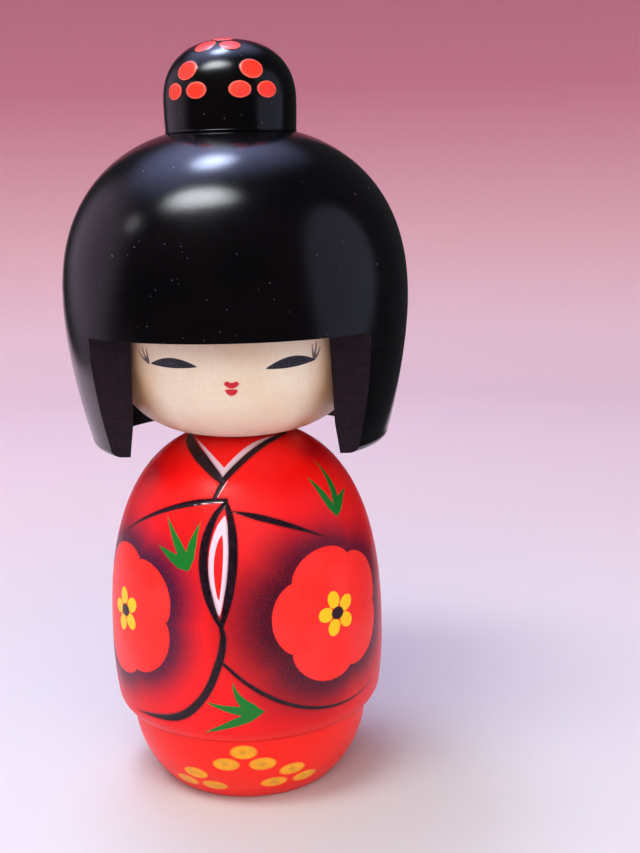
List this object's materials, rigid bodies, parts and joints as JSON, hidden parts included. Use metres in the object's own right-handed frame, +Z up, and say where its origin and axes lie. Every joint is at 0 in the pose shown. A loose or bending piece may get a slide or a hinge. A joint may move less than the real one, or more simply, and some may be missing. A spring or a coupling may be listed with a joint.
{
  "type": "kokeshi doll",
  "caption": "Turned wooden doll: round red body on a small foot, turning round head, thick black hair cap and topknot.",
  "frame": {"origin": "centre of the foot's resting face, on the surface the doll stands on", "axes": "+Z up along the turning axis, -Y towards the front of the doll (its face), +X towards the doll's left side"},
  "size_m": [0.0688, 0.0688, 0.15],
  "materials": {
    "painted_body": "gloss red lacquer with painted pattern",
    "bare_wood": "waxed pale wood with painted face",
    "black_lacquer": "high gloss black lacquer",
    "dowel_wood": "bare"
  },
  "bodies": {
    "lower": {"body": "painted_body"},
    "upper": {"head": "bare_wood", "neck_dowel": "dowel_wood", "hair_cap": "black_lacquer", "topknot": "black_lacquer", "topknot_dowel": "dowel_wood"}
  },
  "joints": [
    {"name": "head_turn", "type": "hinge", "parent": "lower", "child": "upper", "pos_m": [0, 0, 0.073], "axis": [0, 0, 1], "continuous": true}
  ]
}
